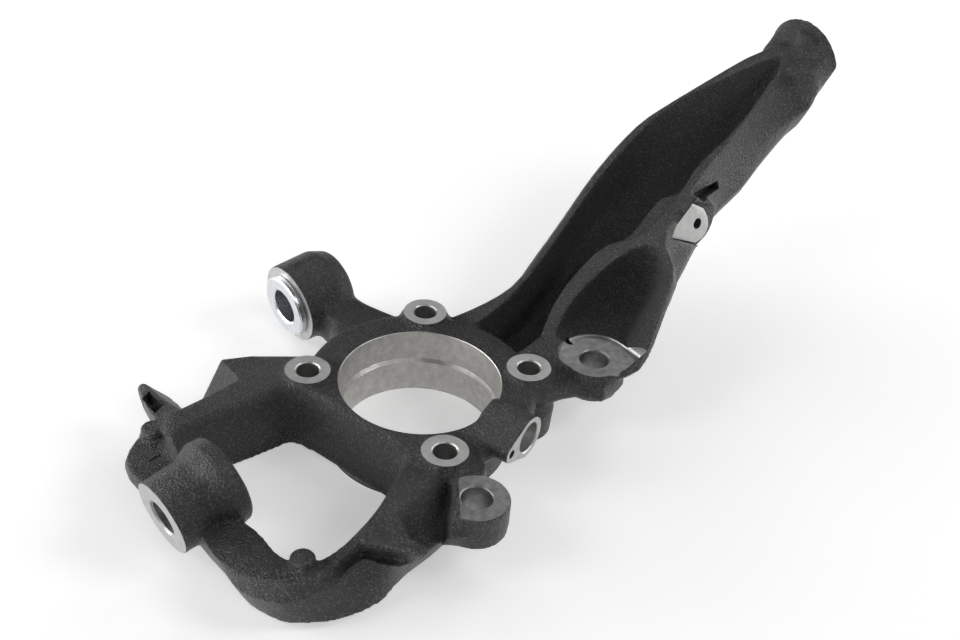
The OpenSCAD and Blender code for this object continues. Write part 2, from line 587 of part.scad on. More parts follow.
module knuckle_casting() {
    color("dimgray")
    translate([0, 0, -mount_z])
        difference() {
            union() {
                difference() {
                    union() {
                        hub_ring();
                        left_leg();
                        loop_arch();
                        window_sill();
                        stop_plate();
                    }
                    window_cut();
                }
                finger();
                cross_rib();
                joint_barrel();
                nub(-stop_nub_x, -stop_nub_y, plate_z + stop_nub_rise);
                nub(crest_nub_x, -crest_nub_y, crest_nub_z);
                difference() {
                    union() {
                        lugs();
                        pocket_wall();
                    }
                    leg_pocket();
                }
                sensor_boss();
                steering_arm();
                difference() {
                    union() {
                        arm_solid();
                        difference() {
                            arm_head();
                            head_flat();
                        }
                        hose_boss();
                    }
                    long_pocket();
                    lug_pocket();
                    hose_recess();
                    hose_slot();
                }
                hose_pad();
                aim(head_nub, head_nub_axis) cylinder(d = nub_d + 1.5, h = nub_h + 5);
            }
            translate([0, 0, mount_z - 1]) cylinder(d = seat_d, h = ring_height + 20);
            translate([0, 0, -bore_step_depth]) cylinder(d = bore_d, h = 60);
            translate([0, 0, -bore_step_depth - bore_bevel])
                cylinder(d1 = seat_d, d2 = bore_d, h = bore_bevel);
            at_bolts() translate([0, 0, mount_z - 1]) cylinder(d = bolt_hole_d, h = 60);
            at_bolts() cylinder(d = bolt_seat_d + 6, h = 20);
            at_lug(1) translate([0, 0, -40]) cylinder(d = lug_bore_d, h = 60);
            at_lug(-1) translate([0, 0, -40]) cylinder(d = lug_bore_d, h = 60);
            at_lug(1) cylinder(d = lug_seat_d, h = 30);
            difference() {
                at_lug(-1) cylinder(d = lug_seat_d, h = 30);
                pocket_wall();
            }
            sensor_holes();
            aim(eye_face, steer_axis) translate([0, 0, -1]) cylinder(d = bush_shank_d, h = 60);
            aim(joint_face, kingpin) translate([0, 0, -1]) cylinder(d = joint_bore_d, h = 60);
            aim(pad_place, pad_axis) translate([0, 0, -pad_t]) cylinder(d = pad_hole_d, h = 20);
            aim(head_face, -head_axis) translate([0, 0, -1]) cylinder(d = head_bore_d, h = head_bore_depth + 1);
        }
}

// Flanged bush of the steering arm's eye
module tie_rod_bush() {
    color("silver")
    translate([0, 0, -mount_z])
        aim(eye_face, steer_axis)
            difference() {
                union() {
                    translate([0, 0, -bush_flange_t]) cylinder(d = bush_flange_d, h = bush_flange_t);
                    cylinder(d = bush_shank_d - 2 * bush_gap, h = eye_length);
                }
                translate([0, 0, -10]) cylinder(d = bush_bore_d, h = 60);
            }
}

knuckle_casting();
tie_rod_bush();
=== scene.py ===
# %% [markdown]
# # A cast steering knuckle
# The part is one black-coated iron casting with machined faces, and a bright bush in its steering arm.
# It is made here in the order of the real one: cast a rough blank, machine it, coat it, press in the bush.

# %% Load the measured model
import math
import bmesh
import bpy
import numpy as np
from mathutils import Euler, Matrix, Vector


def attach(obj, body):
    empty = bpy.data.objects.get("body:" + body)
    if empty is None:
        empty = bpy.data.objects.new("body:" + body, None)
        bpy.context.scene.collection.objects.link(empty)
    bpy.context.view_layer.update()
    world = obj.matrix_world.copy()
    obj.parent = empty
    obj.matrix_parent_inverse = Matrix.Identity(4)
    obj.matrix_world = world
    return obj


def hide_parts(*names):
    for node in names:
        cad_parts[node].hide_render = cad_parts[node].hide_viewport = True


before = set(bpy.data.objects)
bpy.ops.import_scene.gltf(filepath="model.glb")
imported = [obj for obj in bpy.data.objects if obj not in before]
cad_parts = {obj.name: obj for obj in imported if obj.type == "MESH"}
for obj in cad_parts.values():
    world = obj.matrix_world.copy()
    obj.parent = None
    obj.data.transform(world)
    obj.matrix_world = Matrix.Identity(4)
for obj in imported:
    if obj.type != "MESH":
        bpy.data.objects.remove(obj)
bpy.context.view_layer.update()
casting_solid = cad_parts["knuckle_casting"]
bush_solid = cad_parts["tie_rod_bush"]
bpy.ops.object.select_all(action="DESELECT")
print("loaded", sorted(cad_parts))

# %% [markdown]
# ## Units and places
# The drawing of the part is in millimetres, with heights from the hub bolt seats. Blender works in metres
# from the hub's mounting face, so one small helper turns a place on the drawing into a place in the scene.

# %% Units and places
MM = 0.001
RING_HEIGHT = 43


def place(x, y, z):
    return Vector((x, y, z + RING_HEIGHT)) * MM


def turned_to(axis):
    return Vector(axis).to_track_quat("Z", "Y").to_matrix().to_4x4()


print("the bolt seats are", round(place(0, 0, 0).z, 4), "m above the mounting face")

# %% [markdown]
# ## The camera
# The photograph was taken from the lower right, about 36 degrees above the ring's face, with a lens a
# little longer than normal. The place and the turn were found from the ellipses of the bores.

# %% The camera
CAMERA_PLACE = (0.40396, -0.50834, 0.55354)
CAMERA_TURN = (54.0588, -3.9973, 38.7225)
LENS = 56.25
SENSOR = 36

camera_data = bpy.data.cameras.new("camera")
camera_data.lens = LENS
camera_data.sensor_width = SENSOR
camera_data.clip_start = 0.01
camera_data.clip_end = 20
camera = bpy.data.objects.new("camera", camera_data)
camera.location = CAMERA_PLACE
camera.rotation_euler = Euler([math.radians(turn) for turn in CAMERA_TURN])
bpy.context.scene.collection.objects.link(camera)
bpy.context.scene.camera = camera
print("the camera is", round(Vector(CAMERA_PLACE).length, 3), "m from the hub")

# %% [markdown]
# ## Floor and light
# A light table is a pale sheet without an edge in view, lit a little from below, so shadows stay faint. A
# black part shows its shape mostly by what it reflects. Low walls of light on the far side from the camera
# and to its left draw the steep faces, and higher boxes draw the upward ones.

# %% The floor
FLOOR_SIZE = 12
FLOOR_DROP = 0.0005
FLOOR_GLOW = 0.38

bpy.ops.mesh.primitive_plane_add(size=FLOOR_SIZE, location=(0, 0, -FLOOR_DROP))
floor = bpy.context.object
floor.name = "floor"
floor_paper = bpy.data.materials.new("floor_paper")
floor_paper.use_nodes = True
paper = floor_paper.node_tree.nodes["Principled BSDF"]
paper.inputs["Base Color"].default_value = (0.86, 0.86, 0.86, 1)
paper.inputs["Roughness"].default_value = 0.9
paper.inputs["Specular IOR Level"].default_value = 0.1
paper.inputs["Emission Color"].default_value = (1, 1, 1, 1)
paper.inputs["Emission Strength"].default_value = FLOOR_GLOW
floor.data.materials.append(floor_paper)
print("floor of", FLOOR_SIZE, "m")

# %% [markdown]
# ## Soft lamps
# A softbox is a flat panel of even light that faces the object. A brightness per area is easier to compare
# between panels than a power, so the power is worked out from the brightness and the panel's size.

# %% A soft lamp


def soft_lamp(name, spot, target, size, power):
    lamp_data = bpy.data.lights.new(name, "AREA")
    lamp_data.shape = "RECTANGLE"
    lamp_data.size = size[0]
    lamp_data.size_y = size[1]
    lamp_data.energy = power
    lamp = bpy.data.objects.new(name, lamp_data)
    lamp.location = spot
    toward = Vector(target) - Vector(spot)
    lamp.rotation_euler = toward.to_track_quat("-Z", "Y").to_euler()
    bpy.context.scene.collection.objects.link(lamp)
    return lamp


print("lamp helper ready")

# %% Lamps round the table
LAMP_TARGET = (0, 0.05, 0.1)
WORLD_STRENGTH = 0.02
# Each lamp has a direction in degrees, a distance and a height, its width and length, and a brightness.
LAMPS = {
    "left_wall": (-150, 1.7, 0.3, 1.2, 0.6, 10.2),
    "front_left_wall": (-115, 1.7, 0.3, 1.2, 0.6, 6.3),
    "back_wall": (70, 1.7, 0.3, 1.2, 0.6, 5.4),
    "front_left_box": (-120, 1.4, 1.2, 0.7, 0.7, 3.4),
    "front_right_box": (-30, 1.4, 1.2, 0.7, 0.7, 2.4),
    "right_box": (30, 1.4, 1.2, 0.7, 0.7, 5.4),
    "back_right_box": (90, 1.4, 1.2, 0.7, 0.7, 2.7),
    "back_box": (128, 1.4, 1.2, 0.7, 0.7, 1.3),
    "back_left_box": (165, 1.4, 1.2, 0.7, 0.7, 1.3),
}

for name, (direction, distance, height, width, length, brightness) in LAMPS.items():
    angle = math.radians(direction)
    spot = (distance * math.cos(angle), distance * math.sin(angle), height)
    power = brightness * math.pi * width * length
    soft_lamp(name, spot, LAMP_TARGET, (width, length), power)

world = bpy.data.worlds.new("studio")
world.use_nodes = True
world.node_tree.nodes["Background"].inputs["Color"].default_value = (1, 1, 1, 1)
world.node_tree.nodes["Background"].inputs["Strength"].default_value = WORLD_STRENGTH
bpy.context.scene.world = world
bpy.context.scene.view_settings.view_transform = "Standard"

# %% [markdown]
# ## Small helpers for working by hand
# Blender's operators act on whatever is selected, so each step first selects one object only. A modifier
# is added, set and applied in one go, as one would press Apply in its panel. A hull wraps the selected
# points in their tightest convex skin, which joins round ends into one long shape.

# %% Selecting and applying


def only(piece):
    bpy.ops.object.select_all(action="DESELECT")
    piece.select_set(True)
    bpy.context.view_layer.objects.active = piece


def applied(piece, kind, **settings):
    only(piece)
    modifier = piece.modifiers.new(kind.lower(), kind)
    for setting, value in settings.items():
        setattr(modifier, setting, value)
    bpy.ops.object.modifier_apply(modifier=modifier.name)
    return piece


def joined(pieces, name):
    only(pieces[0])
    for piece in pieces:
        piece.select_set(True)
    bpy.ops.object.join()
    pieces[0].name = name
    return pieces[0]


def hulled(piece):
    only(piece)
    bpy.ops.object.mode_set(mode="EDIT")
    bpy.ops.mesh.select_all(action="SELECT")
    bpy.ops.mesh.convex_hull()
    bpy.ops.object.mode_set(mode="OBJECT")
    return piece


def size_of(piece):
    return f"{len(piece.data.vertices)} points and {len(piece.data.polygons)} faces"


print("helpers ready")

# %% [markdown]
# ## Turned shapes
# A drill, a spot-facer and a boring bar all leave a round shape. Each is made from a circle that is
# extruded along its axis and scaled at every step, as a profile runs from one end to the other.

# %% Turned shapes
SIDES = 96


def turned(name, profile, middle, axis, sides=SIDES):
    """A closed round solid. The profile is a row of (radius, height) pairs in millimetres."""
    first_radius, first_height = profile[0]
    bpy.ops.mesh.primitive_circle_add(
        vertices=sides, radius=first_radius * MM, fill_type="NGON", location=(0, 0, first_height * MM))
    piece = bpy.context.object
    piece.name = name
    bpy.ops.object.transform_apply(location=True, rotation=True, scale=True)
    bpy.ops.object.mode_set(mode="EDIT")
    bpy.ops.mesh.select_all(action="SELECT")
    bpy.ops.mesh.flip_normals()
    radius, height = first_radius, first_height
    for next_radius, next_height in profile[1:]:
        if next_height == height:
            bpy.ops.mesh.extrude_region_move()
        else:
            rise = (next_height - height) * MM
            bpy.ops.mesh.extrude_region_move(TRANSFORM_OT_translate={"value": (0, 0, rise)})
        grow = next_radius / radius
        bpy.ops.transform.resize(value=(grow, grow, 1), center_override=(0, 0, next_height * MM))
        radius, height = next_radius, next_height
    bpy.ops.mesh.select_all(action="SELECT")
    bpy.ops.mesh.normals_make_consistent(inside=False)
    bpy.ops.object.mode_set(mode="OBJECT")
    piece.data.transform(Matrix.Translation(middle) @ turned_to(axis))
    piece.data.update()
    return piece


print("turned shapes have", SIDES, "sides")

# %% [markdown]
# ## Nodes for the materials
# Every finish is worked out from places on the object, so nothing is painted and no picture is needed. A
# noise gives a pattern, a ramp turns it into tints, a map range into roughness and a bump into relief.

# %% Node helpers


def node(tree, kind, x, y, **settings):
    made = tree.nodes.new(kind)
    made.location = (x, y)
    for setting, value in settings.items():
        setattr(made, setting, value)
    return made


def new_material(name):
    material = bpy.data.materials.new(name)
    material.use_nodes = True
    tree = material.node_tree
    shader = tree.nodes["Principled BSDF"]
    coordinates = node(tree, "ShaderNodeTexCoord", -1400, 0)
    return material, tree, shader, coordinates.outputs["Object"]


def noise(tree, coordinates, size, detail, x, y, rough=0.5):
    made = node(tree, "ShaderNodeTexNoise", x, y)
    made.inputs["Scale"].default_value = 1 / size
    made.inputs["Detail"].default_value = detail
    made.inputs["Roughness"].default_value = rough
    tree.links.new(coordinates, made.inputs["Vector"])
    return made.outputs["Fac"]


def ramp(tree, value, stops, x, y):
    made = node(tree, "ShaderNodeValToRGB", x, y)
    row = made.color_ramp.elements
    while len(row) < len(stops):
        row.new(0.5)
    for element, (position, colour) in zip(row, stops):
        element.position = position
        element.color = colour if len(colour) == 4 else (*colour, 1)
    tree.links.new(value, made.inputs["Fac"])
    return made.outputs["Color"]


def spread(tree, value, low, high, x, y):
    made = node(tree, "ShaderNodeMapRange", x, y)
    made.inputs["To Min"].default_value = low
    made.inputs["To Max"].default_value = high
    tree.links.new(value, made.inputs["Value"])
    return made.outputs["Result"]


def bumped(tree, shader, layers):
    """Each layer is a (height, depth in metres) pair, and the finest comes last."""
    normal = None
    for row, (height, depth) in enumerate(layers):
        made = node(tree, "ShaderNodeBump", -300, -300 - 200 * row)
        made.inputs["Strength"].default_value = 1
        made.inputs["Distance"].default_value = depth
        tree.links.new(height, made.inputs["Height"])
        if normal:
            tree.links.new(normal, made.inputs["Normal"])
        normal = made.outputs["Normal"]
    tree.links.new(normal, shader.inputs["Normal"])


print("node helpers ready")

# %% [markdown]
# ## Black coating on sand-cast iron
# The skin of the casting copies the sand of its mould: a fine pebbly grain, with softer lumps under it.
# A thin black coat follows every grain. Its tint runs from nearly black in the hollows, a painted shade, to
# dark grey on the tops of the grains, a painted glint, and the bump of the same noise gives more small
# glints.

# %% The coating
GRAIN = 0.0011
LUMPS = 0.006
# These tints paint shade into the grain hollows and glints onto the grain tops.
GRAIN_SHADE_AND_GLINT_TINTS = [(0.43, (0.001, 0.001, 0.001)), (0.53, (0.01, 0.01, 0.0101)), (0.66, (0.1, 0.1, 0.101))]
GRAIN_DEPTH = 0.0018
LUMP_DEPTH = 0.0008

coating, tree, shader, spot = new_material("black_coating")
grain = noise(tree, spot, GRAIN, 3, -1100, -300, 0.6)
lumps = noise(tree, spot, LUMPS, 2, -1100, -600)
tree.links.new(ramp(tree, grain, GRAIN_SHADE_AND_GLINT_TINTS, -700, 200), shader.inputs["Base Color"])
shader.inputs["Specular IOR Level"].default_value = 0.7
tree.links.new(spread(tree, lumps, 0.32, 0.46, -700, -50), shader.inputs["Roughness"])
bumped(tree, shader, [(lumps, LUMP_DEPTH), (grain, GRAIN_DEPTH)])
print("coating with a grain of", GRAIN, "m")

# %% [markdown]
# ## Bare turned iron
# Where a tool has cut, the grey iron is bare. A spot-facer leaves fine rings around its own centre, so each
# such face gets rings about its own axis, and a little smudging from oil and handling.

# %% Bare turned iron
RING_PITCH = 0.0011
SMUDGE = 0.0045
# At scale 1 the wave node repeats every 0.314 units.
WAVE_LENGTH = 0.314


def turned_iron(name, middle, axis, dark, light, rough, pitch=RING_PITCH, depth=0.00003):
    material, tree, shader, spot = new_material(name)
    centred = node(tree, "ShaderNodeMapping", -1200, -200, vector_type="TEXTURE")
    centred.inputs["Location"].default_value = middle
    centred.inputs["Rotation"].default_value = turned_to(axis).to_euler()
    tree.links.new(spot, centred.inputs["Vector"])
    rings = node(tree, "ShaderNodeTexWave", -950, -300, wave_type="RINGS", rings_direction="Z")
    rings.inputs["Scale"].default_value = WAVE_LENGTH / pitch
    rings.inputs["Distortion"].default_value = 1.5
    rings.inputs["Detail"].default_value = 2
    tree.links.new(centred.outputs["Vector"], rings.inputs["Vector"])
    smudge = noise(tree, spot, SMUDGE, 6, -950, 100, 0.7)
    tint = ramp(tree, smudge, [(0.2, dark), (0.8, light)], -650, 200)
    tree.links.new(tint, shader.inputs["Base Color"])
    tree.links.new(spread(tree, smudge, rough + 0.12, rough - 0.05, -650, 0), shader.inputs["Roughness"])
    shader.inputs["Metallic"].default_value = 1
    bumped(tree, shader, [(rings.outputs["Fac"], depth)])
    return material


print("tool marks every", RING_PITCH, "m")

# %% [markdown]
# ## Where the tools will cut
# A machinist needs the place and the direction of every machined face. The bolt seats lie on one circle,
# the two caliper lugs on one leaning line, and each other face has an axis of its own. Plugs and cutters
# share these places, so a face is cut exactly where its stock was left.

# %% Where the tools will cut
BOLT_CIRCLE = 62
BOLT_ANGLES = (52, 128, 217.5, 322.5)
HUB_AXIS = (0, 0, 1)
bolt_places = [
    place(BOLT_CIRCLE * math.cos(math.radians(angle)), BOLT_CIRCLE * math.sin(math.radians(angle)), 0)
    for angle in BOLT_ANGLES
]
LUG_LEAN = math.radians(9.8)
LUG_LINE = 72.5
lug_places = [
    place(
        LUG_LINE * math.cos(LUG_LEAN) - along * math.sin(LUG_LEAN),
        LUG_LINE * math.sin(LUG_LEAN) + along * math.cos(LUG_LEAN),
        -1.5,
    )
    for along in (71.6, -66.4)
]
EYE_FACE = place(-114, 14, -14.5)
EYE_AXIS = (0.2, 0.973, 0.1)
JOINT_FACE = place(-30, -160.5, -14)
JOINT_AXIS = (0.17, 0.967, 0.19)
SENSOR_FACE = place(71, 6.46, -6)
SENSOR_AXIS = (0.996, 0.091, 0)
SCREW_FACE = place(72.55, -10.47, -6)
PAD_FACE = place(47.6, 203, 30)
PAD_AXIS = (0.96, -0.2, 0.2)
HEAD_FACE = place(29.4, 350, 84.4)
HEAD_AXIS = (0.2, 0.97, 0.12)
print("lugs at", [tuple(round(c, 4) for c in spot) for spot in lug_places])

# %% [markdown]
# ## Flat-sided shapes
# A pad, a slot and a hollow have a drawn outline instead of a round one. The outline is laid on the surface
# it belongs to, extruded along that surface's axis, and scaled at its far end where the sides taper.

# %% Flat-sided shapes


def aimed(axis):
    """Turns Z onto an axis, with X kept in the plane of the axis and Z."""
    run = Vector(axis).normalized()
    around = Matrix.Rotation(math.atan2(run.y, run.x), 4, "Z")
    return around @ Matrix.Rotation(math.acos(run.z), 4, "Y")


def prism(name, outline, low, high, middle, axis, taper=1):
    mesh = bpy.data.meshes.new(name)
    mesh.from_pydata([(x * MM, y * MM, low * MM) for x, y in outline], [], [tuple(range(len(outline)))])
    piece = bpy.data.objects.new(name, mesh)
    bpy.context.scene.collection.objects.link(piece)
    only(piece)
    bpy.ops.object.mode_set(mode="EDIT")
    bpy.ops.mesh.select_all(action="SELECT")
    bpy.ops.mesh.extrude_region_move(TRANSFORM_OT_translate={"value": (0, 0, (high - low) * MM)})
    bpy.ops.transform.resize(value=(taper, taper, 1), center_override=(0, 0, high * MM))
    bpy.ops.mesh.select_all(action="SELECT")
    bpy.ops.mesh.normals_make_consistent(inside=False)
    bpy.ops.object.mode_set(mode="OBJECT")
    piece.data.transform(Matrix.Translation(middle) @ aimed(axis))
    return piece


print("flat-sided shapes ready")

# %% [markdown]
# ## Trimmed shapes
# The cast wall beside the lower lug's seat stays clear of the tools. So the plug and the cutter there are
# both cut off along one plane, which keeps the wall whole.

# %% Trimmed shapes
WALL_SIDE = Vector((0.75, 0.66, 0))
WALL_GAP = 8.8
WALL_SPOT = lug_places[1] - WALL_GAP * MM * WALL_SIDE


def trimmed(piece, spot, side):
    only(piece)
    bpy.ops.object.mode_set(mode="EDIT")
    bpy.ops.mesh.select_all(action="SELECT")
    bpy.ops.mesh.bisect(plane_co=spot, plane_no=side, use_fill=True, clear_inner=True)
    bpy.ops.object.mode_set(mode="OBJECT")
    return piece


print("the wall's plane is", WALL_GAP, "mm from the lower bore's axis")

# %% [markdown]
# ## The rough blank
# A foundry casts the part a little too thick wherever it will be machined, and with its holes closed.
# The measured solid gives the shape, plugs close its bores and stand proud of its faces, and a voxel
# remesh melts all of it into one skin.

# %% Plugs
plugs = [turned("hub_plug", [(51.3, -46), (51.3, -40), (46, -40), (46, -2.5)], place(0, 0, 0), HUB_AXIS)]
for spot in bolt_places:
    plugs.append(turned("bolt_plug", [(8, -46), (8, -10), (12.5, -10), (12.5, 1.2)], spot, HUB_AXIS))
for spot in lug_places:
    plugs.append(turned("lug_plug", [(9.5, -19.8), (9.5, -6), (16.3, -6), (16.3, 0.7)], spot, HUB_AXIS))
trimmed(plugs[-1], WALL_SPOT, WALL_SIDE)
plugs.append(turned("eye_plug", [(23.6, -1), (23.6, 4), (15, 4), (15, 33.5)], EYE_FACE, EYE_AXIS))
plugs.append(turned("joint_plug", [(20.2, -1), (20.2, 4), (10.5, 4), (10.5, 38.8)], JOINT_FACE, JOINT_AXIS))
plugs.append(turned("head_plug", [(14, -17.5), (14, -0.1)], HEAD_FACE, HEAD_AXIS))
sensor_plug = joined([
    turned("sensor_plug", [(12.25, -24), (12.25, 1)], SENSOR_FACE, SENSOR_AXIS),
    turned("screw_plug", [(5.5, -20), (5.5, 1)], SCREW_FACE, SENSOR_AXIS)], "sensor_plug")
plugs.append(hulled(sensor_plug))
print(len(plugs), "plugs")

# %% The blank
VOXEL = 0.001
MERGE_DISTANCE = 0.00001

blank = casting_solid.copy()
blank.data = casting_solid.data.copy()
blank.parent = None
blank.name = "casting"
bpy.context.scene.collection.objects.link(blank)
for key in list(blank.keys()):
    del blank[key]
only(blank)
bpy.ops.object.mode_set(mode="EDIT")
bpy.ops.mesh.select_all(action="SELECT")
bpy.ops.mesh.remove_doubles(threshold=MERGE_DISTANCE)
bpy.ops.object.mode_set(mode="OBJECT")
casting = joined([blank, *plugs], "casting")
casting.data.materials.clear()
applied(casting, "REMESH", mode="VOXEL", voxel_size=VOXEL)
print("remeshed:", size_of(casting))

# %% [markdown]
# ## Fillets and soft edges
# Molten iron fills the inner corners of a mould with wide fillets, while outer edges come out only slightly
# round. A plain Smooth modifier treats both alike. So each point is drawn towards the middle of its
# neighbours here: freely in a hollow or on a nearly flat face, and very little on an outer edge.

# %% Fillets and soft edges
ROUNDS = 24
FLAT_ENOUGH = 0.00004
HOLLOW_PULL = 0.5
EDGE_PULL = 0.07
SKIN_FACES = 150000


def softened(piece, rounds):
    mesh = piece.data
    points = np.empty(len(mesh.vertices) * 3)
    mesh.vertices.foreach_get("co", points)
    points = points.reshape(-1, 3)
    edges = np.empty(len(mesh.edges) * 2, int)
    mesh.edges.foreach_get("vertices", edges)
    starts, ends = edges.reshape(-1, 2).T
    corners = np.empty(len(mesh.loops), int)
    mesh.loops.foreach_get("vertex_index", corners)
    quads = corners.reshape(-1, 4)
    count = len(points)
    neighbours = np.bincount(starts, minlength=count) + np.bincount(ends, minlength=count)
    for _ in range(rounds):
        pull = np.empty_like(points)
        outward = np.empty_like(points)
        one_way = points[quads[:, 2]] - points[quads[:, 0]]
        other_way = points[quads[:, 3]] - points[quads[:, 1]]
        face_normals = np.cross(one_way, other_way)
        for axis in range(3):
            total = np.bincount(starts, points[ends, axis], count)
            total += np.bincount(ends, points[starts, axis], count)
            pull[:, axis] = total / neighbours - points[:, axis]
            outward[:, axis] = sum(np.bincount(quads[:, k], face_normals[:, axis], count) for k in range(4))
        hollow = (pull * outward).sum(axis=1) > 0
        flat = (pull ** 2).sum(axis=1) < FLAT_ENOUGH ** 2
        points += pull * np.where(hollow | flat, HOLLOW_PULL, EDGE_PULL)[:, None]
    mesh.vertices.foreach_set("co", points.ravel())
    mesh.update()
    return piece


softened(casting, ROUNDS)
applied(casting, "DECIMATE", ratio=min(1, SKIN_FACES / (2 * len(casting.data.polygons))))
casting.data.materials.append(coating)
print("blank:", size_of(casting))

# %% [markdown]
# ## Machining
# Each cutter is the space that a tool sweeps through. It carries the finish that it leaves behind, and the
# boolean hands that finish to every face it cuts, so bare metal starts exactly at the tool's edge.

# %% The finishes the tools leave
MID_GREY = (0.40, 0.40, 0.395)
LIGHT_GREY = (0.58, 0.58, 0.57)
WARM_DARK = (0.36, 0.35, 0.335)
WARM_LIGHT = (0.62, 0.61, 0.59)
DARK_GREY = (0.14, 0.14, 0.14)
bore_finish = turned_iron("bored_iron", place(0, 0, 0), HUB_AXIS, WARM_DARK, WARM_LIGHT, 0.42)
# The drilled finish is darker partly as painted shade inside the holes.
drilled_and_shaded = turned_iron("drilled_iron_and_shade", place(0, 0, 0), HUB_AXIS, DARK_GREY, MID_GREY, 0.5)
print("finishes ready")

# %% Cutters for the hub
HUB_PROFILE = [(45.4, 10), (45.4, -2.4), (45, -2.9), (45, -21), (43.3, -23), (43.3, -42.2), (45, -44),
    (45, -52)]
BOLT_PROFILE = [(15.5, 14), (15.5, 0), (7.2, 0), (6.5, -0.7), (6.5, -42.3), (7.2, -43), (7.2, -47)]
cutters = []


def cut_with(cutter, finish):
    cutter.data.materials.append(finish)
    cutters.append(cutter)
    return cutter


cut_with(turned("hub_cutter", HUB_PROFILE, place(0, 0, 0), HUB_AXIS), bore_finish)
cut_with(turned("face_cutter", [(88, -42.95), (88, -52)], place(0, 0, 0), HUB_AXIS), bore_finish)
for number, spot in enumerate(bolt_places):
    seat_finish = turned_iron(f"bolt_seat_iron_{number}", spot, HUB_AXIS, MID_GREY, LIGHT_GREY, 0.4)
    cut_with(turned("bolt_cutter", BOLT_PROFILE, spot, HUB_AXIS), seat_finish)
print(len(cutters), "cutters for the hub and its bolts")

# %% [markdown]
# ## The caliper lugs
# The upper seat is milled by a round-cornered cutter that leaves sideways, and the corner leaves a lip. The
# space it sweeps is the hull of the cutter's first and last place. The lower seat is a plain spot-face.

# %% Cutters for the caliper lugs
lug_finishes = [
    turned_iron(f"lug_seat_iron_{number}", spot, HUB_AXIS, DARK_GREY, MID_GREY, 0.42)
    for number, spot in enumerate(lug_places)
]
COARSE_SIDES = 48
MILL_WAY = Vector((0.985, -0.17, 0))
MILL_RUN = 14 * MM * MILL_WAY
MILL_END = lug_places[0] + 20 * MM * MILL_WAY
MILL_PROFILE = [(21.6, 28), (21.6, 2.4), (21.1, 1.1), (20.2, 0.35), (18.8, 0)]
LOWER_PROFILE = [(18.6, 28), (18.6, 0), (8.7, 0), (8.25, -0.5), (8.25, -30)]


def swept(name, profile):
    """The space that a round shape passes through on the mill's way."""
    ends = [lug_places[0], lug_places[0] + MILL_RUN]
    return hulled(joined([turned(name, profile, spot, HUB_AXIS, COARSE_SIDES) for spot in ends], name))


cut_with(trimmed(swept("upper_seat", MILL_PROFILE), MILL_END, -MILL_WAY), lug_finishes[0])
cut_with(turned("upper_bore", [(12, 3), (9.1, 0.1), (8.25, -0.75), (8.25, -30)], lug_places[0], HUB_AXIS),
    lug_finishes[0])
cut_with(turned("lower_seat", LOWER_PROFILE, lug_places[1], HUB_AXIS), lug_finishes[1])
trimmed(cutters[-1], WALL_SPOT, WALL_SIDE)
print("the mill runs", round(MILL_RUN.length / MM, 1), "mm sideways")

# %% [markdown]
# ## The other faces and bores
# The steering eye, the ball joint barrel, the sensor seat and the arm's head are each cut along an axis of
# their own. Drilled holes get a darker finish, partly for the rougher wall a drill leaves and partly as
# painted shade, because little light enters.

# %% Cutters for the other faces and bores
SENSOR_PROFILE = [(23, 12), (23, 0), (9.3, 0), (8.75, -0.6), (8.75, -60)]
HEAD_PROFILE = [(31, 10), (31, -0.3), (14, -0.3), (13, -1.3), (13, -16)]
cut_with(turned("eye_cutter", [(27, -12), (27, 0), (14, 0), (14, 50)], EYE_FACE, EYE_AXIS),
    turned_iron("eye_face_iron", EYE_FACE, EYE_AXIS, MID_GREY, LIGHT_GREY, 0.42))
cut_with(turned("joint_cutter", [(26, -12), (26, 0)], JOINT_FACE, JOINT_AXIS),
    turned_iron("joint_face_iron", JOINT_FACE, JOINT_AXIS, MID_GREY, LIGHT_GREY, 0.4))
cut_with(turned("joint_bore", [(10.8, -0.3), (9.5, 1.1), (9.5, 60)], JOINT_FACE, JOINT_AXIS), drilled_and_shaded)
cut_with(turned("sensor_cutter", SENSOR_PROFILE, SENSOR_FACE, SENSOR_AXIS),
    turned_iron("sensor_face_iron", SENSOR_FACE, SENSOR_AXIS, MID_GREY, LIGHT_GREY, 0.4))
cut_with(turned("screw_cutter", [(2.5, 2), (2.5, -14)], SCREW_FACE, SENSOR_AXIS, 32), drilled_and_shaded)
cut_with(turned("head_cutter", HEAD_PROFILE, HEAD_FACE, HEAD_AXIS),
    turned_iron("head_face_iron", HEAD_FACE, HEAD_AXIS, MID_GREY, LIGHT_GREY, 0.42))
pad_finish = turned_iron("pad_face_iron", PAD_FACE, PAD_AXIS, MID_GREY, LIGHT_GREY, 0.38)
print(len(cutters), "cutters for machined faces and bores")

# %% [markdown]
# ## Cast hollows
# The slot above the pad, the hollow in the finger and the small mark on the stop plate are cast and not
# machined. A remesh would melt their edges, so they are cut too, with cutters that carry the black coating.

# %% Cutters for the cast hollows
SLOT_OUTLINE = [(-2.6, -11), (2.6, -11), (2.6, 11), (-2.6, 11)]
SLOT_PLACE = place(42.3, 221, 43.4)
SLOT_AXIS = (0.94, -0.03, 0.34)
HOLLOW_OUTLINE = [(-7.4, -1.2), (-8.4, 4.4), (5.8, 3.2), (7.8, -6)]
HOLLOW_PLACE = place(-94, -109, 0)
HOLLOW_FLARE = 1.28
MARK_OUTLINE = [(-0.6, -3.6), (0.5, -3.6), (1.3, 3.4), (0.2, 3.4)]
MARK_PLACE = place(-63.3, -135.5, -10)
cut_with(prism("slot_cutter", SLOT_OUTLINE, -7, 9, SLOT_PLACE, SLOT_AXIS), coating)
cut_with(prism("hollow_cutter", HOLLOW_OUTLINE, -13, 4, HOLLOW_PLACE, HUB_AXIS, HOLLOW_FLARE), coating)
cut_with(prism("mark_cutter", MARK_OUTLINE, -1.1, 2, MARK_PLACE, HUB_AXIS), coating)
print(len(cutters), "cutters")

# %% [markdown]
# ## Cutting
# The block that becomes the lip of the upper seat is added first, so that the mill leaves only its edge.
# A boolean can fail without a word, so the volume and the open edges are printed after every one.

# %% Adding and cutting


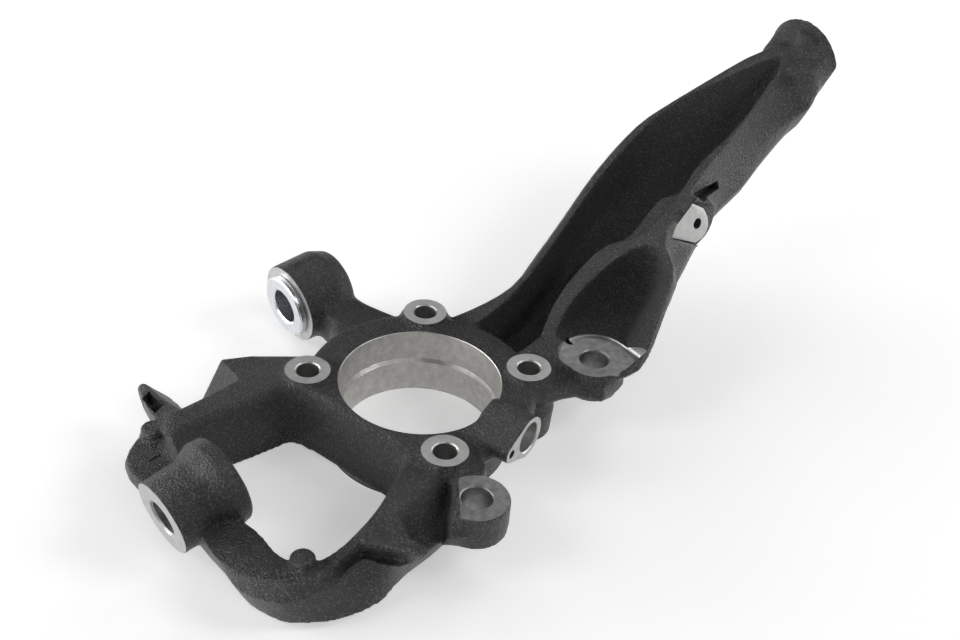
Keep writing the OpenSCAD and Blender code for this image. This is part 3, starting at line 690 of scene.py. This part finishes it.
def volume(piece):
    shape = bmesh.new()
    shape.from_mesh(piece.data)
    litres = shape.calc_volume() * 1000
    loose = sum(not edge.is_manifold for edge in shape.edges)
    shape.free()
    return f"{litres:.4f} litres, {loose} open edges"


def add_block(block, finish):
    block.data.materials.append(finish)
    applied(casting, "BOOLEAN", operation="UNION", object=block, solver="EXACT", material_mode="TRANSFER")
    print("with", block.name, volume(casting))
    bpy.data.objects.remove(block)


def cut_away(cutter):
    applied(
        casting, "BOOLEAN", operation="DIFFERENCE", object=cutter, solver="EXACT", material_mode="TRANSFER")
    print(cutter.name, volume(casting))
    bpy.data.objects.remove(cutter)


print("before:", volume(casting))

# %% Cut
LIP_PROFILE = [(23.2, -7), (22.8, 1), (22, 1.5)]
LIP_SIDE = Vector((0.17, 0.985, 0))
LIP_SHORTER = 4
lip = trimmed(swept("lip_block", LIP_PROFILE), lug_places[0], LIP_SIDE)
add_block(trimmed(lip, MILL_END - LIP_SHORTER * MM * MILL_WAY, -MILL_WAY), coating)
for cutter in cutters:
    cut_away(cutter)

# %% [markdown]
# ## Crisp small features
# The pad for the hose bracket has a sharp flat with a bevelled crescent round its free side, and the datum
# nubs are short round posts. A voxel remesh would melt them, so they are added to the finished skin.

# %% The bracket pad
PAD_OUTLINE = [(-14.7, -3.6), (0.6, -25.7), (13, -0.2), (12.1, 5.1), (9.2, 8.7), (5.2, 10.9), (-1, 10.3),
    (-7.9, 6.7), (-11.5, 1.3)]
PAD_SHELF = [(-15.2, -3.6), (0.6, -26.6), (14, -1), (18, 3), (17, 14), (12, 22), (4, 25.5), (-2, 23),
    (-8, 14), (-13, 3)]
PAD_DEPTH = 2.4
ON_THE_FACE = 0.0001
SHORT_SIDE = 20 * MM
pad_block = prism("pad_block", PAD_OUTLINE, -9, 0, PAD_FACE, PAD_AXIS)
only(pad_block)
bpy.ops.object.mode_set(mode="EDIT")
bpy.ops.mesh.select_all(action="DESELECT")
shape = bmesh.from_edit_mesh(pad_block.data)
pad_normal = Vector(PAD_AXIS).normalized()
rim = []
for edge in shape.edges:
    if all(abs((corner.co - PAD_FACE).dot(pad_normal)) < ON_THE_FACE for corner in edge.verts):
        rim.append(edge)
for edge in rim:
    edge.select = edge.calc_length() < SHORT_SIDE
bmesh.update_edit_mesh(pad_block.data)
bpy.ops.mesh.bevel(offset=PAD_DEPTH * MM, offset_type="OFFSET", segments=2, profile=0.6)
bpy.ops.object.mode_set(mode="OBJECT")
pad_room = prism("pad_room", PAD_SHELF, -PAD_DEPTH, 18, PAD_FACE, PAD_AXIS)
pad_room.data.materials.append(coating)
cut_away(pad_room)
add_block(pad_block, pad_finish)
pad_hole = turned("pad_hole", [(3.4, 4), (3.4, -9)], PAD_FACE, PAD_AXIS, COARSE_SIDES)
pad_hole.data.materials.append(drilled_and_shaded)
cut_away(pad_hole)

# %% Datum nubs
SMOOTH_ANGLE = math.radians(30)
NUB_PROFILE = [(7.6, -7), (6.6, -4.4), (6.3, -1.3), (5.7, -0.4), (4.8, 0)]
for spot in (place(-77.5, -124, -4.7), place(42.5, -136, -8.7)):
    add_block(turned("nub", NUB_PROFILE, spot, HUB_AXIS, COARSE_SIDES), coating)
only(casting)
bpy.ops.object.shade_smooth_by_angle(angle=SMOOTH_ANGLE)
print("machined:", size_of(casting), "with", len(casting.data.materials), "finishes")

# %% [markdown]
# ## The bush
# A flanged steel sleeve, turned and zinc plated, sits in the eye of the steering arm. Its edges have small
# chamfers, which is where the bright lines on it come from. One fault is known: the profile starts and ends
# on one ring, so two caps lie on each other there and close the far end of a bore that should run through.

# %% The bush
ZINC_DARK = (0.62, 0.64, 0.67)
ZINC_LIGHT = (0.80, 0.82, 0.85)
BUSH_PROFILE = [(13.9, 34), (13.9, 0), (17.9, 0), (18.7, -0.8), (18.7, -3.6), (17.8, -4.5), (11.4, -4.5),
    (10.4, -3.5), (10.4, 33.5), (10.9, 34), (13.9, 34)]
zinc = turned_iron("zinc_plate", EYE_FACE, EYE_AXIS, ZINC_DARK, ZINC_LIGHT, 0.24, 0.0007, 0.00002)
bush = turned("tie_rod_sleeve", BUSH_PROFILE, EYE_FACE, EYE_AXIS)
print("bush:", size_of(bush))

# %% [markdown]
# ## Hand the pieces over
# The machined blank and the bush take the places of the measured solids, which stay in the model for
# collisions. Both ride on the part's one body.

# %% Hand over
bush.data.materials.append(zinc)
only(bush)
bpy.ops.object.shade_smooth_by_angle(angle=SMOOTH_ANGLE)
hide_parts("knuckle_casting")
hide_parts("tie_rod_bush")
for piece in (casting, bush):
    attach(piece, "root")
